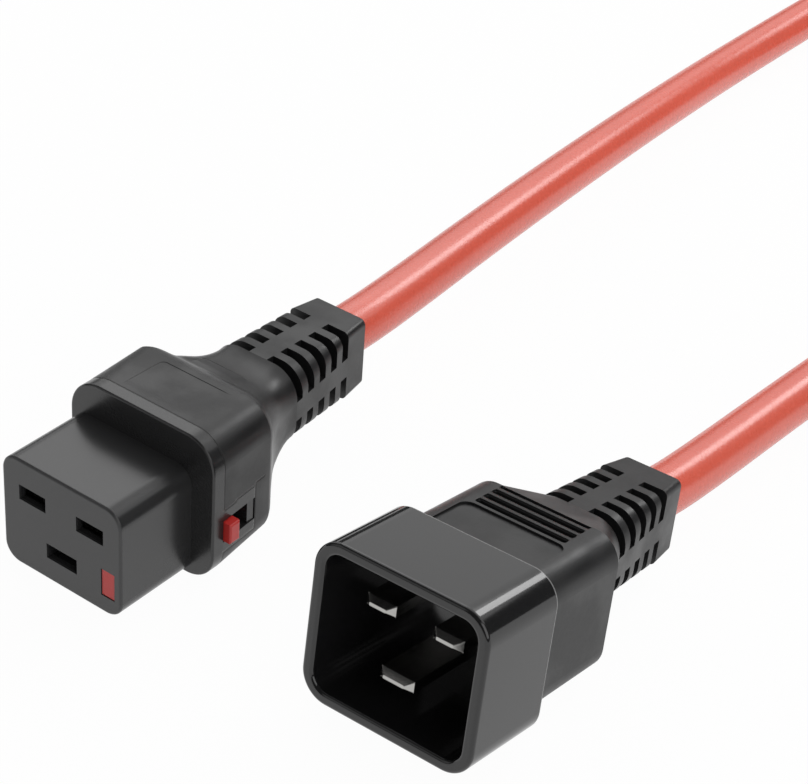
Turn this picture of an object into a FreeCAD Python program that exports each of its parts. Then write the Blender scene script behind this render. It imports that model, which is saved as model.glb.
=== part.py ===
import FreeCAD, Part

"""Locking C19 power connector with its red lead and the C20 plug on the lead's far end.

Units are millimetres.  The connector is built in a socket frame whose origin is the
centre of the mating face: X to the right, Y back towards the cable, Z up.  The plug is
built the same way round in a plug frame with its origin at the centre of the shroud's
rim.  Both are then placed in the part frame: floor at Z = 0, origin under the middle of
the connector.
"""

import math
import os

Vector = FreeCAD.Vector

# ---------------------------------------------------------------- mating geometry
blade_spacing = 13.0        # line to neutral, centre to centre
row_height = 4.34           # line and neutral row above the nose's middle
earth_offset = 9.14         # earth row below the line and neutral row
line_slot_width = 6.05
earth_slot_width = 6.9
slot_height = 2.98
line_blade_width = 5.6
earth_blade_width = 6.4
blade_thickness = 2.0

# ---------------------------------------------------------------- connector nose
nose_width = 26.8
nose_height = 21.8
nose_length = 17.0
nose_corner = 3.4
nose_edge = 0.5
nose_wall = 1.4
chamber_margin = 0.85       # contact chamber beyond the slot, each side
chamber_height = 5.0

# ---------------------------------------------------------------- collar and body
collar_left = 14.2
collar_right = 18.2
collar_top = 17.6
collar_bottom = 11.1
collar_corners = (6.0, 6.8, 6.0, 6.0)  # at the lip: top right, top left, bottom left, bottom right
lip_thickness = 2.6
lip_edge = 0.4
body_length = 12.6          # overmould behind the lip, up to the rolled rear edge
draft_sides = 0.8           # how far each face pulls in over that length
draft_top = 0.4
draft_bottom = 1.2
body_corners = (5.6, 3.7, 5.0, 5.6)  # at the rear: top right, top left, bottom left, bottom right
neck_length = 14.8
neck_dip = 1.25             # how far the top sinks below a straight line
neck_step = 0.15            # how far the neck's end stands out round the relief
neck_profile = [            # share of the length; extra size left above and to the left, and below and to the right
    (0.0, 1.0, 1.0), (0.05, 0.985, 0.955), (0.1, 0.94, 0.875), (0.2, 0.72, 0.69), (0.35, 0.52, 0.445),
    (0.5, 0.36, 0.275), (0.75, 0.125, 0.09), (0.92, 0.02, 0.015), (1.0, 0.0, 0.0),
]
carrier_corner = 1.8
hub_left = 12.6
hub_right = 12.8
hub_top = 9.2
hub_bottom = 9.2
hub_length = 8.0
retainer_thickness = 3.0
retainer_hole = 4.6

# ---------------------------------------------------------------- strain relief
relief_root_width = 18.4
relief_root_height = 15.5
relief_end_width = 12.0
relief_end_height = 14.0
relief_root_corner = 5.4
relief_slotted_corner = 1.7 # corners of the last rib
relief_tuck = 0.2           # how far each relief starts inside the neck
relief_end_corner = 1.2
groove_count = 5
groove_pitch = 3.8
groove_width = 2.0
spine_half = 2.0
relief_block = 5.8
core_wall = 0.9             # material left over the cable at the bottom of a groove
relief_x = 1.6
relief_z = 5.8
cable_shift_x = -0.5        # the cable's bore is a little off the relief's middle
cable_shift_z = 0.65

# ---------------------------------------------------------------- release slider
latch_left = 8.95           # the slider's channel through the nose
latch_right = 11.95
latch_bottom = -7.45
latch_top = -2.0
latch_clearance = 0.12
latch_recess = 0.15
button_front_gap = 0.15     # behind the lip
button_length = 2.4
button_bottom = -2.95
button_top = 0.95
button_proud = 1.5
button_edge = 0.35
button_peg = 2.0            # peg of the button inside the slider
button_peg_side = 1.6
slider_travel = 4.0
window_margin = 0.25
window_top_margin = 0.32
cheek_rear_wall = 1.85
cheek_top_wall = 2.15       # above the window, beside the lip
cheek_step = 0.4            # extra height of the cheek towards the rear
cheek_step_start = 3.4      # behind the lip
cheek_bottom_wall = 2.1
cheek_recess = 0.15

# ---------------------------------------------------------------- lock plate and spring
plate_thickness = 0.8
plate_pivot_x = -6.6
plate_pivot_y = 6.4
plate_end_gap = 0.4         # between the plate's end and the bottom of the slider's notch
plate_notch_web = 1.23      # what is left of the slider beside the notch
plate_tongue = 1.6          # half the height of the tongue that enters the notch
plate_shoulder_gap = 0.6    # between the plate's shoulders and the slider's way
plate_above = 3.2           # top of the plate above the earth row
plate_end_clearance = 0.12
plate_tilt_deg = 8.0
plate_slot_margin = 0.35
pocket_margin = 0.45
spring_wire = 0.3
spring_outer = 2.6
spring_turns = 5.5
spring_seat_depth = 2.0

# ---------------------------------------------------------------- contacts and cores
contact_wall = 0.5
contact_height = 4.4
contact_gap = 0.2           # contact to chamber, each side
contact_mouth = 0.8         # behind the face wall
contact_length = 11.0
contact_seam = 1.4
grip_gap = 2.1
strip_width = 3.0
strip_length = 4.0
barrel_outer = 3.8
barrel_bore = 2.0
barrel_length = 6.0
conductor = 2.0
conductor_gap = 0.6         # end of the barrel to the insulation
core_diameter = 3.6
core_ring = 2.2             # the three cores' circle inside the cable
core_straight = 8.0         # of each core behind its barrel
core_lead_in = 5.0          # of each core before the cable
cable_insert = 18.0         # length of cable held inside each strain relief

# ---------------------------------------------------------------- plug
shroud_width = 33.5
shroud_height = 29.05
shroud_corner = 5.2
shroud_wall = 2.2
shroud_length = 18.0
shroud_floor = 1.9
rim_edge = 0.7
shroud_rear_edge = 0.3
blade_recess = 3.95         # line and neutral tips behind the rim
earth_lead = 2.6            # earth tip ahead of the other two
blade_tip = 1.15
blade_tip_thickness = 0.6
plug_half_width = 14.7
plug_top = 12.6
plug_bottom = 12.9
plug_corner = 4.95
plug_draft_bottom = 0.35
plug_body_length = 20.7
plug_edge = 0.6
shoulder_length = 7.2
plug_hub_length = 7.2
plug_hub_margin = 3.4
panel_width = 20.2
panel_length = 11.6
panel_depth = 0.4
panel_corner = 2.0
grip_width = 17.8
grip_pitch = 2.25
grip_groove = 1.45
grip_depth = 0.9
grip_count = 4
grip_first = 13.0           # first groove's front edge behind the shroud
plug_relief_x = 1.2
plug_relief_z = 2.35
plug_cable_shift_x = -0.25
plug_cable_shift_z = 0.45
plug_offset_x = 64.3        # the plug's rim centre beside the connector's nose
plug_offset_y = 5.28
plug_yaw_deg = -1.52
plug_pitch_deg = -8.2
plug_roll_deg = -2.61

# ---------------------------------------------------------------- lead
cable_diameter = 9.6
coil_inner_turn = 39.4      # radius of the innermost turn, at the cable's middle
coil_columns = 3
tie_thickness = 0.8
tie_width = 14.0
tie_clearance = 0.3
tail_length = 44.0          # straight cable that belongs to the coil's solid
coil_inset = 0.3            # the coil's block inside the outside of its turns

# The route of each free stretch, in the part frame: x, y and height above the floor.
socket_route = [(-6.45, 95.0, 16.0), (-12.8, 155.0, 12.0), (-19.8, 218.0, 7.4)]
plug_route = [(64.6, 95.0, 6.3), (67.9, 145.0, 6.0), (75.0, 195.0, 9.5), (84.0, 240.0, 13.0)]
straight_exit = 13.0        # how far the lead runs straight out of each strain relief
coil_centre_y = 322.0
coil_centre_x = 41.5

# ---------------------------------------------------------------- derived sizes
cable_radius = cable_diameter / 2
earth_row = row_height - earth_offset
body_front = nose_length + lip_thickness
body_rear = body_front + body_length
relief_start = body_rear + neck_length
body_rear_edges = (
    draft_sides - collar_left, collar_right - draft_sides, draft_bottom - collar_bottom, collar_top - draft_top,
)
relief_slotted = (groove_count - 1) * groove_pitch + groove_width
relief_length = relief_slotted + relief_block
socket_cable_exit = relief_start + relief_length
socket_cable_x = relief_x + cable_shift_x
socket_cable_z = relief_z + cable_shift_z
hub_rear = body_front + hub_length
button_front = body_front + button_front_gap
button_rear = button_front + button_length
plug_body_rear = shroud_length + plug_body_length
plug_relief_start = plug_body_rear + shoulder_length
plug_cable_exit = plug_relief_start + relief_length
plug_cable_x = plug_relief_x + plug_cable_shift_x
plug_cable_z = plug_relief_z + plug_cable_shift_z
socket_shift = Vector(
    (collar_left - collar_right - button_proud) / 2, -socket_cable_exit / 2, collar_bottom
)
chamber_widths = {
    "line": line_slot_width + 2 * chamber_margin,
    "neutral": line_slot_width + 2 * chamber_margin,
    "earth": earth_slot_width + 2 * chamber_margin,
}
pole_places = {
    "line": (-blade_spacing / 2, row_height),
    "neutral": (blade_spacing / 2, row_height),
    "earth": (0.0, earth_row),
}
carrier_half_width = nose_width / 2 - nose_wall
carrier_half_height = nose_height / 2 - nose_wall
plate_bottom = plate_end_clearance - carrier_half_height
plate_reach = latch_right - latch_clearance - plate_notch_web - plate_end_gap - plate_pivot_x
plate_top = earth_row + plate_above
core_angles = {"line": 150.0, "neutral": 30.0, "earth": 270.0}


# ================================================================ shape helpers
def box(x0, x1, y0, y1, z0, z1):
    """A block between two corners."""
    return Part.makeBox(x1 - x0, y1 - y0, z1 - z0, Vector(x0, y0, z0))


def cylinder_y(x, z, radius, y0, y1):
    """A round bar along Y."""
    return Part.makeCylinder(radius, y1 - y0, Vector(x, y0, z), Vector(0, 1, 0))


def rounded_outline(left, right, bottom, top, radii, y):
    """A closed rectangle with rounded corners, standing in the plane at y.

    radii is one radius, or four: top right, top left, bottom left, bottom right.
    """
    if isinstance(radii, (int, float)):
        radii = (radii,) * 4
    corners = []
    for index, radius in enumerate(radii):
        x = right - radius if index in (0, 3) else left + radius
        z = top - radius if index in (0, 1) else bottom + radius
        corners.append((x, z, radius, 90.0 * index))

    def on_corner(corner, degrees):
        x, z, radius, first = corner
        angle = math.radians(first + degrees)
        return Vector(x + radius * math.cos(angle), y, z + radius * math.sin(angle))

    edges = []
    for corner, following in zip(corners, corners[1:] + corners[:1]):
        start, middle, end = (on_corner(corner, turn) for turn in (0, 45, 90))
        edges.append(Part.Arc(start, middle, end).toShape())
        edges.append(Part.LineSegment(end, on_corner(following, 0)).toShape())
    return Part.Wire(edges)


def rounded_block(left, right, bottom, top, radius, y0, y1):
    """A rounded rectangle pushed back from y0 to y1."""
    face = Part.Face(rounded_outline(left, right, bottom, top, radius, y0))
    return face.extrude(Vector(0, y1 - y0, 0))


def soften(solid, radius, wanted):
    """Fillet the edges for which wanted(edge) is true."""
    edges = [edge for edge in solid.Edges if wanted(edge)]
    return solid.makeFillet(radius, edges)


def lies_at_y(y):
    """A test for edges that lie wholly in the plane at y."""
    return lambda edge: abs(edge.BoundBox.YMin - y) < 1e-4 and abs(edge.BoundBox.YMax - y) < 1e-4


def route_path(points):
    """Straight runs joined by tangent arcs, and the radius of each arc."""
    points = [Vector(*point) for point in points]
    edges, radii, start = [], [], points[0]
    for before, corner, after in zip(points, points[1:], points[2:]):
        arriving = (corner - before).normalize()
        leaving = (after - corner).normalize()
        half_turn = arriving.getAngle(leaving) / 2
        reach = 0.45 * min((corner - before).Length, (after - corner).Length)
        radius = reach / math.tan(half_turn)
        first, last = corner - arriving * reach, corner + leaving * reach
        inward = (leaving - arriving).normalize()
        middle = corner + inward * (radius / math.cos(half_turn) - radius)
        edges.append(Part.LineSegment(start, first).toShape())
        edges.append(Part.Arc(first, middle, last).toShape())
        radii.append(radius)
        start = last
    edges.append(Part.LineSegment(start, points[-1]).toShape())
    return Part.Wire(edges), radii


def tube_along(points, radius, name):
    """A round bar along a route, with its bends and its volume printed for checking."""
    path, radii = route_path(points)
    start = Vector(*points[0])
    circle = Part.makeCircle(radius, start, Vector(*points[1]) - start)
    solid = path.makePipeShell([Part.Wire(circle)], True, False)
    expected = math.pi * radius ** 2 * path.Length
    print(
        "%s: length %.1f, smallest bend %.1f, volume / expected %.4f"
        % (name, path.Length, min(radii), solid.Volume / expected)
    )
    return solid


# ================================================================ parts used twice
def strain_relief(x, z, start, cable_x, cable_z):
    """Tapered square sleeve whose corners are cut by grooves, leaving a spine on each side."""
    end = start + relief_length
    slotted_end = start + relief_slotted

    def half_sizes(y):
        share = (y - start) / relief_length
        width = relief_root_width + (relief_end_width - relief_root_width) * share
        height = relief_root_height + (relief_end_height - relief_root_height) * share
        return width / 2, height / 2

    def section(y, radius):
        half_width, half_height = half_sizes(y)
        return rounded_outline(x - half_width, x + half_width, z - half_height, z + half_height, radius, y)

    root = section(start - relief_tuck, relief_root_corner)
    slotted = Part.makeLoft([root, section(slotted_end, relief_slotted_corner)], True, True)
    block = Part.makeLoft([section(slotted_end, relief_end_corner), section(end, relief_end_corner)], True, True)
    groove_floor = cylinder_y(cable_x, cable_z, cable_radius + core_wall, start - 1, end)
    for index in range(groove_count):
        front = start + index * groove_pitch
        for side_x in (-1, 1):
            for side_z in (-1, 1):
                near_x, far_x = sorted((x + side_x * spine_half, x + side_x * relief_root_width))
                near_z, far_z = sorted((z + side_z * spine_half, z + side_z * relief_root_height))
                corner = box(near_x, far_x, front, front + groove_width, near_z, far_z)
                slotted = slotted.cut(corner.cut(groove_floor))
    return slotted.fuse(block)


def core_solid(pole, start_y, x, z, end_y, cable_x, cable_z, name):
    """One insulated core: bare end in the crimp, then a gentle run into the cable."""
    angle = math.radians(core_angles[pole])
    inner_x = cable_x + core_ring * math.cos(angle)
    inner_z = cable_z + core_ring * math.sin(angle)
    bend_y = end_y - core_lead_in
    points = [
        (x, start_y, z),
        (x, start_y + core_straight, z),
        (inner_x, bend_y, inner_z),
        (inner_x, end_y, inner_z),
    ]
    insulated = tube_along(points, core_diameter / 2, name)
    bare = cylinder_y(x, z, conductor / 2, start_y - conductor_gap - barrel_length + 1.0, start_y)
    return insulated.fuse(bare)


def retainer_plate(left, right, bottom, top, front, places, name):
    """Rear carrier that closes the terminal chambers, with a hole for each core."""
    plate = rounded_block(left, right, bottom, top, 1.5, front, front + retainer_thickness)
    for x, z in places.values():
        plate = plate.cut(cylinder_y(x, z, retainer_hole / 2, front - 1, front + retainer_thickness + 1))
    return plate


# ================================================================ connector
def body_block():
    """The overmould's main block, from the lip to the rolled rear edge."""
    front = rounded_outline(
        -collar_left, collar_right, -collar_bottom, collar_top, collar_corners, body_front
    )
    rear = rounded_outline(*body_rear_edges, body_corners, body_rear)
    return Part.makeLoft([front, rear], True, True)


def neck():
    """Rolled rear edge and concave neck, from the body's outline down to the strain relief."""
    half_width, half_height = relief_root_width / 2 + neck_step, relief_root_height / 2 + neck_step
    root = (relief_x - half_width, relief_x + half_width, relief_z - half_height, relief_z + half_height)
    root_corner = relief_root_corner + neck_step
    outlines = []
    for share, upper_left, lower_right in neck_profile:
        shares = (upper_left, lower_right, lower_right, upper_left)
        left, right, bottom, top = (
            end + (start - end) * extra for start, end, extra in zip(body_rear_edges, root, shares)
        )
        top -= neck_dip * 4 * share * (1 - share)
        radii = [root_corner + (corner - root_corner) * lower_right for corner in body_corners]
        outlines.append(rounded_outline(left, right, bottom, top, radii, body_rear + share * neck_length))
    return Part.makeLoft(outlines, True, False)


def chamber(pole, front, rear):
    """The space that one contact sits in."""
    x, z = pole_places[pole]
    half = chamber_widths[pole] / 2
    return box(x - half, x + half, front, rear, z - chamber_height / 2, z + chamber_height / 2)


def arm_channel():
    """The slider's straight way, from the window in the face to the back of the hub."""
    return box(latch_left, latch_right, -1, hub_rear + 1, latch_bottom, latch_top)


def bridge_room(right):
    """The room behind the lip in which the bridge and the button move, out to a given x."""
    return box(
        latch_left, right, body_front, button_rear + slider_travel + window_margin,
        button_bottom - window_margin, button_top + window_top_margin,
    )


def plate_pocket():
    """Wedge-shaped pocket in which the lock plate tilts, open below for assembly."""
    thickness = plate_thickness / 2 + pocket_margin
    swing = (plate_reach + pocket_margin) * math.sin(math.radians(plate_tilt_deg))
    left = plate_pivot_x - plate_thickness
    right = carrier_half_width + 1
    outline = [
        (left, plate_pivot_y - thickness),
        (right, plate_pivot_y - thickness - swing),
        (right, plate_pivot_y + thickness),
        (left, plate_pivot_y + thickness),
    ]
    low = -carrier_half_height - 1
    points = [Vector(x, y, low) for x, y in outline]
    face = Part.Face(Part.makePolygon(points + points[:1]))
    return face.extrude(Vector(0, 0, plate_top + pocket_margin - low))


def cheek_block():
    """The part of the hard moulding that shows round the button's window."""
    rear = button_rear + slider_travel + window_margin + cheek_rear_wall
    low = button_bottom - window_margin - cheek_bottom_wall
    high = button_top + window_top_margin + cheek_top_wall
    step = body_front + cheek_step_start
    outer = collar_right + 1
    cheek = box(hub_right, outer, body_front, rear, low, high)
    return cheek.fuse(box(hub_right, outer, step, rear, high - 1, high + cheek_step))


def cheek_face():
    """X of the overmould's side at the rear of the cheek."""
    rear = button_rear + slider_travel + window_margin + cheek_rear_wall
    return collar_right - draft_sides * (rear - body_front) / body_length


def hub_block():
    """The part of the contact carrier that is buried in the overmould."""
    return rounded_block(-hub_left, hub_right, -hub_bottom, hub_top, 1.5, body_front, hub_rear)


def carrier_block(front, rear):
    """The part of the contact carrier that fills the nose."""
    return rounded_block(
        -carrier_half_width, carrier_half_width, -carrier_half_height, carrier_half_height,
        carrier_corner, front, rear,
    )


def socket_housing():
    """Hard moulding: hollow nose, collar lip, and the cheek round the button."""
    half_width, half_height = nose_width / 2, nose_height / 2
    nose = rounded_block(-half_width, half_width, -half_height, half_height, nose_corner, 0, nose_length)
    nose = soften(nose, nose_edge, lies_at_y(0))
    lip = rounded_block(
        -collar_left, collar_right, -collar_bottom, collar_top, collar_corners, nose_length, body_front
    )
    lip = soften(lip, lip_edge, lies_at_y(nose_length))
    cheek = cheek_block().common(body_block())
    window_rear = button_rear + slider_travel + window_margin
    cheek = cheek.cut(box(
        cheek_face() - cheek_recess, collar_right + 1, window_rear - 0.5, window_rear + cheek_rear_wall + 1,
        button_bottom - window_margin, button_top + window_top_margin,
    ))
    housing = nose.fuse([lip, cheek]).cut(carrier_block(nose_wall, body_front + 1))
    slot_widths = {"line": line_slot_width, "neutral": line_slot_width, "earth": earth_slot_width}
    for pole, (x, z) in pole_places.items():
        half, tall = slot_widths[pole] / 2, slot_height / 2
        housing = housing.cut(box(x - half, x + half, -1, nose_wall + 1, z - tall, z + tall))
    window = box(latch_left, latch_right, -1, nose_wall + 1, latch_bottom, latch_top)
    return housing.cut(window).cut(bridge_room(collar_right + button_proud))


def contact_carrier():
    """Insert that slides into the nose from behind, with the contacts, plate and slider in it."""
    carrier = carrier_block(nose_wall, body_front).fuse(hub_block())
    for pole in pole_places:
        carrier = carrier.cut(chamber(pole, nose_wall - 1, hub_rear + 1))
    return carrier.cut(arm_channel()).cut(plate_pocket()).cut(bridge_room(hub_right + 1))


def connector_body():
    """Soft overmould: body, neck and strain relief, moulded round the hard parts."""
    relief = strain_relief(relief_x, relief_z, relief_start, socket_cable_x, socket_cable_z)
    shell = body_block().fuse([neck(), relief])
    plate = rounded_block(-hub_left, hub_right, -hub_bottom, hub_top, 1.5, hub_rear, hub_rear + retainer_thickness)
    bore = cylinder_y(socket_cable_x, socket_cable_z, cable_radius, cable_start(), socket_cable_exit + 1)
    for inner in (hub_block(), cheek_block(), plate, bore):
        shell = shell.cut(inner)
    return shell


def cable_start():
    """Where the cable's jacket ends inside the connector."""
    return socket_cable_exit - cable_insert


def contact(pole):
    """Formed contact: box with a seam and two grip ridges, a strip, and a crimp barrel."""
    x, z = pole_places[pole]
    width = chamber_widths[pole] - 2 * contact_gap
    front = nose_wall + contact_mouth
    if pole == "earth":
        front = plate_pivot_y + plate_thickness / 2 + pocket_margin + contact_mouth
    rear = nose_wall + contact_mouth + contact_length
    half, tall = width / 2, contact_height / 2
    outer = box(x - half, x + half, front, rear, z - tall, z + tall)
    inner = box(
        x - half + contact_wall, x + half - contact_wall, front - 1, rear + 1,
        z - tall + contact_wall, z + tall - contact_wall,
    )
    seam = box(x - contact_seam / 2, x + contact_seam / 2, front - 1, rear + 1, z, z + tall + 1)
    shell = outer.cut(inner).cut(seam)
    ridge = tall - contact_wall - grip_gap / 2
    middle = (front + rear) / 2
    for side in (-1, 1):
        rail = Part.makeCylinder(
            2 * ridge, width, Vector(x - half, middle, z + side * (grip_gap / 2 + 2 * ridge)), Vector(1, 0, 0)
        )
        shell = shell.fuse(rail.common(outer).cut(seam))
    barrel_front = rear + strip_length
    strip = box(x - strip_width / 2, x + strip_width / 2, rear - 1, barrel_front + 2, z - tall, z - tall + contact_wall)
    barrel = cylinder_y(x, z, barrel_outer / 2, barrel_front, barrel_front + barrel_length)
    foot = box(x - barrel_outer / 4, x + barrel_outer / 4, barrel_front, barrel_front + 2, z - tall, z - barrel_bore / 2)
    bore = cylinder_y(x, z, barrel_bore / 2, barrel_front - 1, barrel_front + barrel_length + 1)
    return shell.fuse([strip, barrel, foot]).cut(bore)


def socket_core(pole):
    """One core between its contact and the cable inside the connector."""
    x, z = pole_places[pole]
    start = nose_wall + contact_mouth + contact_length + strip_length + barrel_length + conductor_gap
    return core_solid(
        pole, start, x, z, cable_start(), socket_cable_x, socket_cable_z, pole + "_core"
    )


def release_slider():
    """Red slider: arm that shows in the face, and the bridge behind the lip."""
    left, right = latch_left + latch_clearance, latch_right - latch_clearance
    low, high = latch_bottom + latch_clearance, latch_top - latch_clearance
    arm = box(left, right, latch_recess, button_rear, low, high)
    bridge = box(left, hub_right, button_front, button_rear, button_bottom, button_top)
    spread = plate_reach * math.sin(math.radians(plate_tilt_deg))
    tab = plate_thickness / 2 + latch_clearance
    tab_y = plate_pivot_y - spread
    notch = box(
        left - 1, plate_pivot_x + plate_reach + plate_end_gap, tab_y - tab - (slider_travel - spread), tab_y + tab + 0.2,
        low - 1, high + 1,
    )
    return arm.fuse(bridge).cut(notch).cut(button_peg_block())


def button_peg_block():
    """The peg that holds the button on the slider's bridge."""
    y, z = (button_front + button_rear) / 2, (button_bottom + button_top) / 2
    half = button_peg_side / 2
    return box(hub_right - button_peg, hub_right, y - half, y + half, z - half, z + half)


def release_button():
    """Red button outside the housing, pegged to the slider through the window."""
    outer = collar_right + button_proud
    button = box(hub_right, outer, button_front, button_rear, button_bottom, button_top)
    button = soften(button, button_edge, lambda edge: edge.BoundBox.XMin > outer - 1e-4)
    return button.fuse(button_peg_block())


def lock_plate():
    """Steel plate round the earth blade's way, tilted so that its slot grips the blade."""
    half = earth_blade_width / 2 + plate_slot_margin
    tall = blade_thickness / 2 + plate_slot_margin
    front, rear = plate_pivot_y - plate_thickness / 2, plate_pivot_y + plate_thickness / 2
    plate = box(plate_pivot_x, plate_pivot_x + plate_reach, front, rear, plate_bottom, plate_top)
    bead = Part.makeCylinder(
        plate_thickness / 2, plate_top - plate_bottom, Vector(plate_pivot_x, plate_pivot_y, plate_bottom)
    )
    plate = plate.fuse(bead).cut(box(-half, half, front - 1, rear + 1, earth_row - tall, earth_row + tall))
    shoulder, end = latch_left - plate_shoulder_gap, plate_pivot_x + plate_reach
    for low, high in ((earth_row + plate_tongue, plate_top + 1), (plate_bottom - 1, earth_row - plate_tongue)):
        plate = plate.cut(box(shoulder, end + 1, front - 1, rear + 1, low, high))
    plate.rotate(Vector(plate_pivot_x, plate_pivot_y, 0), Vector(0, 0, 1), -plate_tilt_deg)
    return plate


def spring_axis():
    """The middle of the slider's channel."""
    return (latch_left + latch_right) / 2, (latch_bottom + latch_top) / 2


def terminal_retainer():
    """Rear carrier of the connector, with the spring's seat."""
    x, z = spring_axis()
    plate = retainer_plate(
        -hub_left, hub_right, -hub_bottom, hub_top, hub_rear, pole_places, "terminal_retainer"
    )
    return plate.cut(cylinder_y(x, z, spring_outer / 2 + 0.2, hub_rear - 1, hub_rear + spring_seat_depth))


def return_spring():
    """Compression spring between the slider's arm and the rear carrier."""
    x, z = spring_axis()
    start, end = button_rear, hub_rear + spring_seat_depth
    radius = (spring_outer - spring_wire) / 2
    height = end - start - spring_wire
    helix = Part.makeHelix(height / spring_turns, height, radius)
    profile = Part.Wire(Part.makeCircle(spring_wire / 2, Vector(radius, 0, 0), Vector(0, 1, 0)))
    spring = Part.Wire(helix).makePipeShell([profile], True, True)
    spring.rotate(Vector(0, 0, 0), Vector(1, 0, 0), -90)
    spring.translate(Vector(x, start + spring_wire / 2, z))
    return spring


# ================================================================ plug
def plug_outline(y, inset=0.0):
    """The plug body's outline, whose underside rises a little towards the rear."""
    rise = plug_draft_bottom * (y - shroud_length) / plug_body_length
    return rounded_outline(
        -plug_half_width + inset, plug_half_width - inset, -plug_bottom + inset + rise, plug_top - inset,
        plug_corner - inset, y,
    )


def plug_hub(front, rear):
    """The block behind the shroud that holds the blades."""
    margin = plug_hub_margin
    return rounded_block(
        -plug_half_width + margin, plug_half_width - margin, -plug_bottom + margin, plug_top - margin,
        1.5, front, rear,
    )


def plug_shroud():
    """Glossy hard moulding: open shroud, its floor, and the buried hub."""
    half_width, half_height = shroud_width / 2, shroud_height / 2
    outer = rounded_block(
        -half_width, half_width, -half_height, half_height, shroud_corner, 0, shroud_length
    )
    wall = shroud_wall
    cavity = rounded_block(
        -half_width + wall, half_width - wall, -half_height + wall, half_height - wall,
        shroud_corner - wall, -1, shroud_length - shroud_floor,
    )
    shroud = outer.cut(cavity)
    shroud = soften(shroud, rim_edge, lies_at_y(0))
    shroud = soften(shroud, shroud_rear_edge, lies_at_y(shroud_length))
    shroud = shroud.fuse(plug_hub(shroud_length - 0.5, shroud_length + plug_hub_length))
    for pole in pole_places:
        shroud = shroud.cut(blade(pole, False))
    return shroud


def blade(pole, finished=True):
    """One blade with a tapered tip, and the crimp barrel behind it when finished."""
    x, z = pole_places[pole]
    width = earth_blade_width if pole == "earth" else line_blade_width
    tip = blade_recess - (earth_lead if pole == "earth" else 0.0)
    rear = shroud_length + plug_hub_length
    half, tall, point = width / 2, blade_thickness / 2, blade_tip_thickness / 2
    solid = box(x - half, x + half, tip, rear, z - tall, z + tall)
    if not finished:
        return solid
    taper = Part.makeLoft(
        [
            rounded_outline(x - half, x + half, z - tall, z + tall, 0.2, tip + blade_tip),
            rounded_outline(x - half + blade_tip, x + half - blade_tip, z - point, z + point, 0.2, tip),
        ], True, True,
    )
    barrel = cylinder_y(x, z, barrel_outer / 2, rear, rear + barrel_length)
    bore = cylinder_y(x, z, barrel_bore / 2, rear + 0.5, rear + barrel_length + 1)
    shank = box(x - half, x + half, tip + blade_tip, rear, z - tall, z + tall)
    return taper.fuse([shank, barrel]).cut(bore)


def plug_body():
    """Soft overmould of the plug: body, sloping shoulder and strain relief."""
    root = rounded_outline(
        plug_relief_x - relief_root_width / 2, plug_relief_x + relief_root_width / 2,
        plug_relief_z - relief_root_height / 2,
        plug_relief_z + relief_root_height / 2, relief_root_corner, plug_relief_start,
    )
    sections = [
        plug_outline(shroud_length), plug_outline(plug_body_rear - plug_edge),
        plug_outline(plug_body_rear, plug_edge), root,
    ]
    body = Part.makeLoft(sections, True, True)
    hub_end = shroud_length + plug_hub_length
    body = body.fuse(strain_relief(plug_relief_x, plug_relief_z, plug_relief_start, plug_cable_x, plug_cable_z))
    panel = box(
        -panel_width / 2, panel_width / 2, shroud_length - 1, panel_rear(), plug_top - panel_depth, plug_top + 1
    )
    panel = soften(
        panel, panel_corner, lambda edge: edge.BoundBox.YMin > panel_rear() - 1e-4 and edge.BoundBox.ZLength > 0.5
    )
    body = body.cut(panel)
    for index in range(grip_count):
        front = shroud_length + grip_first + index * grip_pitch - grip_groove / 2
        groove = box(
            -grip_width / 2, grip_width / 2, front, front + grip_groove, plug_top - grip_depth, plug_top + 1
        )
        body = body.cut(soften(groove, 0.42 * grip_groove, lambda edge: edge.BoundBox.ZLength > 0.5))
    start = plug_cable_exit - cable_insert
    body = body.cut(cylinder_y(plug_cable_x, plug_cable_z, cable_radius, start, plug_cable_exit + 1))
    return body.cut(plug_hub(shroud_length - 1, hub_end + retainer_thickness))


def panel_rear():
    """The panel's rear edge."""
    return shroud_length + panel_length


def pin_retainer():
    """Rear carrier of the plug."""
    margin = plug_hub_margin
    front = shroud_length + plug_hub_length
    return retainer_plate(
        -plug_half_width + margin, plug_half_width - margin, -plug_bottom + margin, plug_top - margin,
        front, pole_places, "pin_retainer",
    )


def plug_core(pole):
    """One core between its blade and the cable inside the plug."""
    x, z = pole_places[pole]
    start = shroud_length + plug_hub_length + barrel_length + conductor_gap
    end = plug_cable_exit - cable_insert
    return core_solid(pole, start, x, z, end, plug_cable_x, plug_cable_z, "plug_" + pole + "_core")


# ================================================================ lead
def tangent_point(centre, radius, outside, side):
    """Where a straight run from outside meets the circle, on the given side."""
    reach = math.hypot(outside[0] - centre[0], outside[1] - centre[1])
    facing = math.atan2(outside[1] - centre[1], outside[0] - centre[0])
    angle = facing + side * math.acos(radius / reach)
    return centre[0] + radius * math.cos(angle), centre[1] + radius * math.sin(angle)


def coil_layers():
    """The radius and height of the outermost bottom turn and of the last top turn."""
    outer = coil_inner_turn + (coil_columns - 1) * cable_diameter
    low = tie_thickness + cable_radius
    rise = cable_diameter * math.sqrt(3) / 2
    return outer, low, outer - cable_radius, low + rise


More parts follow.
